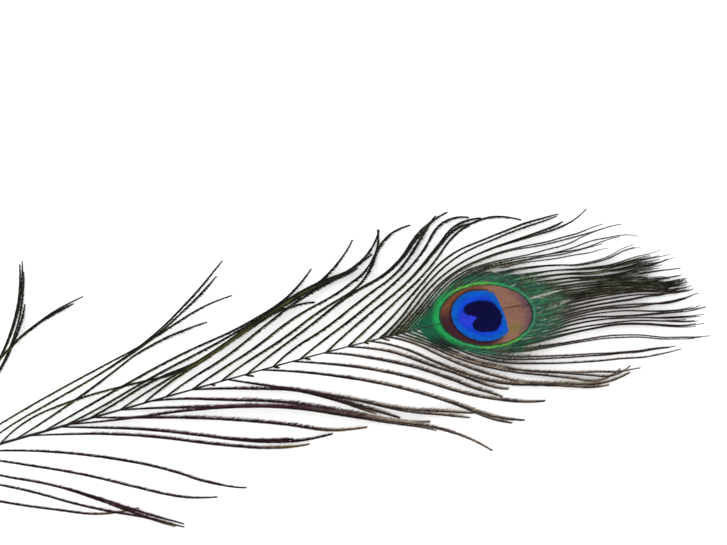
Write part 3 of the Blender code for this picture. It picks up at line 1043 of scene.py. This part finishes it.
def stretched_noise(tree, marks, size):
    """Noise as seen from above, in spots of a given length along the feather and width across it."""
    stretched = add_node(tree, "ShaderNodeMapping", {},
                         {"Vector": marks["plane"], "Scale": (1 / size[0], 1 / size[1], 1)})
    return add_node(tree, "ShaderNodeTexNoise", {}, {"Vector": stretched, "Scale": 1, "Detail": 1})


def patchiness(tree, marks):
    """Noise that differs from barb to barb, but is alike within clumps of neighbouring ones."""
    clumps = stretched_noise(tree, marks, CLUMP_SIZE)
    streaks = streaks_along(tree, marks, PATCH_STREAK)
    return add_node(tree, "ShaderNodeMix", {"data_type": "FLOAT"},
                    {"Factor": STREAK_SHARE, "A": clumps, "B": streaks})


def fluff_colour(tree, colours, marks, patches):
    """Colour of the barbules: each vane has its own, which changes towards the eye and towards the tips."""
    right_fluff = cover(tree, colours.right_fluff, colours.right_light, marks["along"], *LIGHT_RIGHT)
    fluff = cover(tree, right_fluff, colours.left_fluff, marks["vane"], *ON_LEFT)
    fluff = cover(tree, fluff, colours.left_tips, marks["vane_tip"], 0.75, 0.35)
    # Painted highlight: the close right barbules are painted pale near their roots.
    right_close = cover(tree, colours.right_close, colours.pale_painted_glints, marks["tip"], 0.1, 0.4)
    close_fluff = cover(tree, right_close, colours.left_close, marks["vane"], *ON_LEFT)
    fluff = cover(tree, fluff, close_fluff, marks["close"], 1, 0)
    # Painted highlight: pale patches painted on some of the close barbules.
    pale = add_node(tree, "ShaderNodeMath", {"operation": "MULTIPLY"}, {0: patches, 1: marks["close"]})
    fluff = cover(tree, fluff, colours.pale_painted_glints, pale, 0.66, 0.58)
    close_tip = add_node(tree, "ShaderNodeMath", {"operation": "MULTIPLY"},
                         {0: marks["tip"], 1: marks["close"]})
    return cover(tree, fluff, colours.left_core, close_tip, 0.95, 0.75, strength=0.8)


def plain_colour(tree, colours, marks):
    """Colour of the plain barbs: a dark stem, and barbules that are lighter where they face the shaft."""
    right_stem = cover(tree, colours.right_core, colours.right_light, marks["along"], *LIGHT_RIGHT,
                       strength=0.07)
    stem = cover(tree, right_stem, colours.left_core, marks["vane"], *ON_LEFT)
    patches = patchiness(tree, marks)
    fluff = fluff_colour(tree, colours, marks, patches)
    faces_out = add_node(tree, "ShaderNodeMath", {"operation": "MULTIPLY"},
                         {0: marks["vane"], 1: marks["flank"]})
    lit = add_node(tree, "ShaderNodeMapRange", {},
                   {"Value": faces_out, "From Min": -1, "From Max": 1, "To Min": 1, "To Max": 0.25})
    patchy = add_node(tree, "ShaderNodeMapRange", {},
                      {"Value": patches, "From Min": 0.42, "From Max": 0.58, "To Min": 0.1, "To Max": 1})
    strength = add_node(tree, "ShaderNodeMath", {"operation": "MULTIPLY"}, {0: lit, 1: patchy})
    colour = cover(tree, stem, fluff, marks["reach"], 0.7, 0.1, strength=strength)
    return gold_tipped(tree, colours, marks, colour)


def gold_tipped(tree, colours, marks, colour):
    """Turns the tips of some right barbs golden, well before the eye."""
    some = add_node(tree, "ShaderNodeMapRange", {},
                    {"Value": marks["tint"], "From Min": 0.2, "From Max": 0.25, "To Min": 0, "To Max": 0.6})
    before_eye = add_node(tree, "ShaderNodeMapRange", {},
                          {"Value": marks["along"], "From Min": -60, "From Max": -42,
                           "To Min": 1, "To Max": 0})
    is_gold = add_node(tree, "ShaderNodeMath", {"operation": "MULTIPLY"}, {0: some, 1: before_eye})
    return cover(tree, colour, colours.gold_tips, marks["vane_tip"], -0.97, -0.78, strength=is_gold)


def streaked_green(tree, colours, marks, streaks):
    """The green field: emerald with dark and dull streaks, bright flecks, and pale flecks of painted
    highlight beyond the eye.
    """
    flecks = stretched_noise(tree, marks, FLECK_SIZE)
    field = cover(tree, colours.emerald_dark, colours.emerald, streaks, 0.55, 0.4)
    field = cover(tree, field, colours.emerald_light, flecks, 0.7, 0.56)
    field = cover(tree, field, colours.left_close, streaks, 0.36, 0.44, strength=0.7)
    beyond_eye = add_node(tree, "ShaderNodeMapRange", {},
                          {"Value": marks["along"], "From Min": 2, "From Max": 12,
                           "To Min": 0, "To Max": 0.65})
    return cover(tree, field, colours.pale_painted_glints, flecks, 0.32, 0.37, strength=beyond_eye)


def green_colour(tree, colours, marks, ring_edge):
    """The green that surrounds the eye, laid on the plain barbs: it is bright where they close up before it.

    The barbs' stems stay darker than their barbules.
    """
    plane = marks["plane"]
    streaks = streaks_along(tree, marks, GREEN_STREAK)
    field = streaked_green(tree, colours, marks, streaks)
    plain = plain_colour(tree, colours, marks)
    colour = cover(tree, plain, field, oval_edge(tree, plane, EMERALD_OVAL), -9, 1)
    colour = cover(tree, colour, field, ring_edge, 1, 4.5)
    broken = add_node(tree, "ShaderNodeMapRange", {}, {"Value": streaks, "From Min": 0.4, "From Max": 0.55})
    # Painted highlights: pale glints painted along a few barbs beside and beyond the eye.
    for oval in GLINTS:
        colour = cover(tree, colour, colours.pale_painted_glints, oval_edge(tree, plane, oval), -0.1, 0.35,
                       strength=broken)
    colour = cover(tree, colour, colours.emerald_dark, oval_edge(tree, plane, WEDGE_SHADE_OVAL), -0.5, 0.8)
    colour = cover(tree, colour, colours.wedge_dark, oval_edge(tree, plane, WEDGE_OVAL), -2, 2.5)
    before_eye = add_node(tree, "ShaderNodeMapRange", {},
                          {"Value": marks["along"], "From Min": -17, "From Max": -10,
                           "To Min": 1, "To Max": 0})
    colour = cover(tree, colour, colours.wedge, ring_edge, 0.2, 2, strength=before_eye)
    is_barbule = add_node(tree, "ShaderNodeMath", {"operation": "ABSOLUTE"}, {0: marks["flank"]})
    return cover(tree, colour, colours.left_core, is_barbule, 0, 0.5, strength=0.65)


def ring_colour(tree, colours, marks, ring_edge, colour):
    """The ring, laid on the green: yellow at its sides, dull at its far end, and ragged with streaks."""
    from_middle = add_node(tree, "ShaderNodeMath", {"operation": "ABSOLUTE"}, {0: marks["across"]})
    ring = cover(tree, colours.ring, colours.ring_yellow, from_middle, 13.5, 10.5, strength=0.7)
    ring = cover(tree, ring, colours.ring_dull, marks["along"], 18, 8)
    streaks = streaks_along(tree, marks, RING_STREAK)
    ring = cover(tree, ring, colours.wedge_dark, streaks, 0.3, 0.45, strength=0.6)
    rim = add_node(tree, "ShaderNodeMath", {"operation": "MULTIPLY_ADD"},
                   {0: streaks, 1: RING_RAGGEDNESS, 2: ring_edge})
    return cover(tree, colour, ring, rim, 0.5, 1.3)


def bronze_colour(tree, colours, marks, bronze_edge):
    """The bronze oval: maroon before the blue, brown to its left, and tan beyond it with a purple rim."""
    plane = marks["plane"]
    bronze = cover(tree, colours.maroon, colours.brown, marks["across"], 8, 2)
    bronze = cover(tree, bronze, colours.tan, marks["along"], 6, -3)
    bronze = cover(tree, bronze, colours.olive, oval_edge(tree, plane, OLIVE_OVAL), -1.5, 1.5)
    beyond = add_node(tree, "ShaderNodeMapRange", {},
                      {"Value": marks["along"], "From Min": 8, "From Max": 15})
    bronze = cover(tree, bronze, colours.purple, bronze_edge, -0.6, -3.5, strength=beyond)
    return cover(tree, bronze, colours.line, oval_edge(tree, plane, SHAFT_MARK), -0.05, 0.12, strength=0.7)


def blue_colour(tree, colours, marks, colour):
    """The blue, laid on the bronze: azure at its edge, with a dark line around it on the quill's side."""
    plane = marks["plane"]
    edge = add_node(tree, "ShaderNodeMath", {"operation": "SMOOTH_MAX"},
                    {0: oval_edge(tree, plane, BLUE_OVAL), 1: oval_edge(tree, plane, BLUE_CUT),
                     2: BLUE_ROUNDING})
    before_middle = add_node(tree, "ShaderNodeMapRange", {},
                             {"Value": marks["along"], "From Min": 2, "From Max": 6,
                              "To Min": 0.85, "To Max": 0})
    colour = cover(tree, colour, colours.line, edge, 0.1, 1.1, strength=before_middle)
    blue = cover(tree, colours.blue, colours.azure, edge, -0.5, -3.5)
    blue = cover(tree, blue, colours.violet, oval_edge(tree, plane, VIOLET_OVAL), -1, 1.5)
    return cover(tree, colour, blue, edge, -0.3, 0.15)


def pupil_colour(tree, colours, marks, colour):
    """The pupil, laid on the blue."""
    edge, *others = [oval_edge(tree, marks["plane"], oval) for oval in PUPIL_OVALS]
    for other in others:
        edge = add_node(tree, "ShaderNodeMath", {"operation": "SMOOTH_MIN"},
                        {0: edge, 1: other, 2: PUPIL_ROUNDING})
    return cover(tree, colour, colours.pupil, edge, -0.3, 0.3)


def eye_colour(tree, colours, marks):
    """The barbs' colour with the eye's pattern, laid on from the outside in."""
    ring_edge = oval_edge(tree, marks["plane"], RING_OVAL)
    bronze_edge = oval_edge(tree, marks["plane"], BRONZE_OVAL)
    colour = green_colour(tree, colours, marks, ring_edge)
    colour = ring_colour(tree, colours, marks, ring_edge, colour)
    colour = cover(tree, colour, colours.line, bronze_edge, 0, 0.4, strength=0.85)
    bronze = bronze_colour(tree, colours, marks, bronze_edge)
    colour = cover(tree, colour, bronze, bronze_edge, -0.5, -0.1)
    colour = blue_colour(tree, colours, marks, colour)
    return pupil_colour(tree, colours, marks, colour)


def barb_keratin(tree, shader, colours):
    """Barbs and barbules: keratin, whose thin layers give the colour and a soft gloss, and dull on the back.

    The pattern belongs to the feather's plan, so it lies on Object coordinates.
    """
    coordinates = add_node(tree, "ShaderNodeTexCoord").outputs
    marks = point_marks(tree, coordinates["Object"])
    colour = eye_colour(tree, colours, marks)
    tone = add_node(tree, "ShaderNodeMapRange", {}, {"Value": marks["tint"], "To Min": 0.76, "To Max": 1.16})
    grain = add_node(tree, "ShaderNodeMapRange", {},
                     {"Value": streaks_along(tree, marks, BARBULE_GRAIN), "From Min": 0.35, "From Max": 0.5,
                      "To Min": 0.75, "To Max": 1.0})
    strength = add_node(tree, "ShaderNodeMath", {"operation": "MULTIPLY"}, {0: tone, 1: grain})
    toned = add_node(tree, "ShaderNodeVectorMath", {"operation": "SCALE"}, {0: colour, "Scale": strength})
    facing = add_node(tree, "ShaderNodeSeparateXYZ", {}, {0: coordinates["Normal"]})
    both_sides = cover(tree, toned, colours.underside, facing.outputs["Z"], -0.5, -0.15)
    set_inputs(tree, shader, {"Base Color": both_sides, "Roughness": 0.55, "Specular IOR Level": 0.05})


def shaft_horn(tree, shader, colours):
    """The shaft: smooth horn with fine lengthwise fibres, pale at the quill and dark between the barbs."""
    coordinates = add_node(tree, "ShaderNodeTexCoord").outputs["Object"]
    along = add_node(tree, "ShaderNodeSeparateXYZ", {}, {0: coordinates}).outputs["X"]
    pale_until, dark_from = ((at - MIDDLE[0]) * MM for at in (PALE_UNTIL, DARK_FROM))
    base = cover(tree, colours.shaft, colours.horn, along, pale_until, dark_from)
    fibre_scale = tuple(1 / (size * MM) for size in (FIBRE_LENGTH, FIBRE_WIDTH, FIBRE_WIDTH))
    stretched = add_node(tree, "ShaderNodeMapping", {}, {"Vector": coordinates, "Scale": fibre_scale})
    fibres = add_node(tree, "ShaderNodeTexNoise", {}, {"Vector": stretched, "Scale": 1, "Detail": 3})
    tone = add_node(tree, "ShaderNodeMapRange", {},
                    {"Value": fibres, "From Min": 0.3, "From Max": 0.7, "To Min": 0.8, "To Max": 1.1})
    streaked = add_node(tree, "ShaderNodeVectorMath", {"operation": "SCALE"}, {0: base, "Scale": tone})
    bump = add_node(tree, "ShaderNodeBump", {},
                    {"Strength": 0.3, "Distance": FIBRE_HEIGHT * MM, "Height": fibres})
    set_inputs(tree, shader, {"Base Color": streaked, "Roughness": 0.35, "Specular IOR Level": 0.2,
                              "Normal": bump})


def finish_for(make, colours):
    """The material that a function makes, made once and named for it."""
    material = bpy.data.materials.get(make.__name__)
    if material is None:
        material = bpy.data.materials.new(make.__name__)
        material.use_nodes = True
        make(material.node_tree, material.node_tree.nodes["Principled BSDF"], colours)
    return material


class FEATHER_OT_add_shaft(bpy.types.Operator):
    """Draw the quill and shaft"""

    bl_idname = "feather.add_shaft"
    bl_label = "Shaft"

    def execute(self, context):
        places = range(0, SHAFT_LENGTH + 1, SHAFT_SPACING)
        line = [(at, shaft_side(at), shaft_height(at)) for at in places]
        radii = [shaft_radius(at) for at in places]
        strand = Strand(points=line, girth=radii, fluff=[0.0] * len(line), tint=0.5, vane=0, close=0.0)
        material = finish_for(shaft_horn, context.scene.feather_colours)
        mesh = grow("shaft", strands_mesh("shaft_line", [strand]), shaft_tree(),
                    {"Sides": SHAFT_SIDES, "Material": material})
        smooth_mesh(mesh)
        add_piece("shaft", mesh)
        return {"FINISHED"}


def grow_strands(context, name, strands, spacing):
    """Grows strands and makes them a piece."""
    barbs = context.scene.feather_barbs
    mesh = grow(name, strands_mesh(name + "_lines", strands), barb_tree(), {
        "Ramus Radius": barbs.ramus_radius,
        "Barbule Length": barbs.barbule_length,
        "Barbule Width": barbs.barbule_width,
        "Barbule Thickness": barbs.barbule_thickness,
        "Barbule Spacing": spacing,
        "Barbule Angle": barbs.barbule_angle,
        "Outer Share": barbs.outer_share,
        "Seed": barbs.seed,
        "Material": finish_for(barb_keratin, context.scene.feather_colours),
    })
    return add_piece(name, mesh)


class FEATHER_OT_add_loose_barbs(bpy.types.Operator):
    """Grow the loose barbs of both vanes"""

    bl_idname = "feather.add_loose_barbs"
    bl_label = "Loose barbs"

    def execute(self, context):
        barbs = context.scene.feather_barbs
        rng = random.Random(barbs.seed)
        for vane, label, rows in VANES:
            strands = loose_strands(rows, vane, rng)
            if vane < 0:
                strands += stub_strands(RIGHT_STUBS, vane, rng)
            grow_strands(context, f"{label}_barbs", strands, barbs.loose_spacing)
        return {"FINISHED"}


class FEATHER_OT_add_eye_barbs(bpy.types.Operator):
    """Grow the close barbs that make the eye"""

    bl_idname = "feather.add_eye_barbs"
    bl_label = "Eye barbs"

    def execute(self, context):
        barbs = context.scene.feather_barbs
        rng = random.Random(barbs.seed + 1)
        for vane, label, rows in VANES:
            strands = close_strands(rows, vane, barbs.barb_spacing / MM, rng)
            half = len(strands) // 2
            grow_strands(context, f"eye_barbs_{label}", strands[:half], barbs.close_spacing)
            grow_strands(context, f"end_barbs_{label}", strands[half:], barbs.close_spacing)
        grow_strands(context, "end_barbs_middle", end_strands(rng), barbs.close_spacing)
        return {"FINISHED"}


class FEATHER_OT_add_eye_web(bpy.types.Operator):
    """Make the close-knit middle of the eye"""

    bl_idname = "feather.add_eye_web"
    bl_label = "Eye web"

    def execute(self, context):
        barbs = context.scene.feather_barbs
        rng = random.Random(barbs.seed + 2)
        for vane, label, rows in VANES:
            sheet, marks = web_half(rows, vane, barbs.barb_spacing / MM, rng)
            mesh = bpy.data.meshes.new(f"eye_web_{label}")
            sheet.to_mesh(mesh)
            sheet.free()
            add_marks(mesh, marks)
            mesh.materials.append(finish_for(barb_keratin, context.scene.feather_colours))
            smooth_mesh(mesh)
            add_piece(f"eye_web_{label}", mesh)
        return {"FINISHED"}


def paper_material(colour):
    """Plain white paper, matte."""
    material = bpy.data.materials.new("white_paper")
    material.use_nodes = True
    tree = material.node_tree
    set_inputs(tree, tree.nodes["Principled BSDF"], {"Base Color": colour, "Roughness": 0.9})
    return material


class FEATHER_OT_add_stage(bpy.types.Operator):
    """Lay the paper, and set the light and the camera"""

    bl_idname = "feather.add_stage"
    bl_label = "Stage"

    def execute(self, context):
        stage = context.scene.feather_stage
        self.add_paper(context, stage)
        self.add_light(context, stage)
        self.add_camera(context, stage)
        return {"FINISHED"}

    def add_paper(self, context, stage):
        """A sheet far larger than the feather."""
        half = PAPER_SIZE / 2
        mesh = bpy.data.meshes.new("paper")
        corners = [(-half, -half, 0), (half, -half, 0), (half, half, 0), (-half, half, 0)]
        mesh.from_pydata(corners, [], [(0, 1, 2, 3)])
        mesh.materials.append(paper_material(stage.paper))
        paper = bpy.data.objects.new("paper", mesh)
        context.scene.collection.objects.link(paper)

    def add_light(self, context, stage):
        """An even white surrounding and one very soft lamp from the upper left."""
        world = bpy.data.worlds.new("studio")
        world.use_nodes = True
        sky = world.node_tree.nodes["Background"]
        set_inputs(world.node_tree, sky, {"Color": (1, 1, 1, 1), "Strength": stage.sky_strength})
        context.scene.world = world
        light = bpy.data.lights.new("soft_lamp", "SUN")
        light.energy = stage.lamp_strength
        light.angle = LAMP_SPREAD
        lamp = bpy.data.objects.new("soft_lamp", light)
        lamp.rotation_euler = (-LAMP_TILT, -LAMP_TILT, 0)
        context.scene.collection.objects.link(lamp)

    def add_camera(self, context, stage):
        """Looks straight down, turned and placed as the photograph is."""
        data = bpy.data.cameras.new("camera")
        data.lens = stage.lens
        camera = bpy.data.objects.new("camera", data)
        distance = VIEW_WIDTH * data.lens / data.sensor_width
        camera.location = place(*VIEW_MIDDLE, distance)
        camera.rotation_euler = (0, 0, -math.radians(VIEW_TURN))
        context.scene.collection.objects.link(camera)
        context.scene.camera = camera
        context.scene.view_settings.view_transform = "Standard"


class FEATHER_PT_sidebar(bpy.types.Panel):
    """The feather's makers and settings"""

    bl_idname = "FEATHER_PT_sidebar"
    bl_label = "Peacock Feather"
    bl_space_type = "VIEW_3D"
    bl_region_type = "UI"
    bl_category = "Feather"

    def draw(self, context):
        for operator in OPERATORS:
            self.layout.operator(operator.bl_idname)
        scene = context.scene
        for group in (scene.feather_barbs, scene.feather_colours, scene.feather_stage):
            box = self.layout.box()
            for name in group.bl_rna.properties.keys():
                if name not in ("rna_type", "name"):
                    box.prop(group, name)


OPERATORS = (FEATHER_OT_add_shaft, FEATHER_OT_add_loose_barbs, FEATHER_OT_add_eye_barbs,
             FEATHER_OT_add_eye_web, FEATHER_OT_add_stage)
CLASSES = (FeatherBarbs, FeatherColours, FeatherStage, *OPERATORS, FEATHER_PT_sidebar)


def register():
    for cls in CLASSES:
        register_class(cls)
    bpy.types.Scene.feather_barbs = PointerProperty(type=FeatherBarbs)
    bpy.types.Scene.feather_colours = PointerProperty(type=FeatherColours)
    bpy.types.Scene.feather_stage = PointerProperty(type=FeatherStage)


def unregister():
    del bpy.types.Scene.feather_stage
    del bpy.types.Scene.feather_colours
    del bpy.types.Scene.feather_barbs
    for cls in reversed(CLASSES):
        unregister_class(cls)


def main():
    """Builds the feather and its stage."""
    register()
    bpy.ops.feather.add_shaft()
    bpy.ops.feather.add_loose_barbs()
    bpy.ops.feather.add_eye_barbs()
    bpy.ops.feather.add_eye_web()
    bpy.ops.feather.add_stage()


if __name__ == "__main__":
    main()
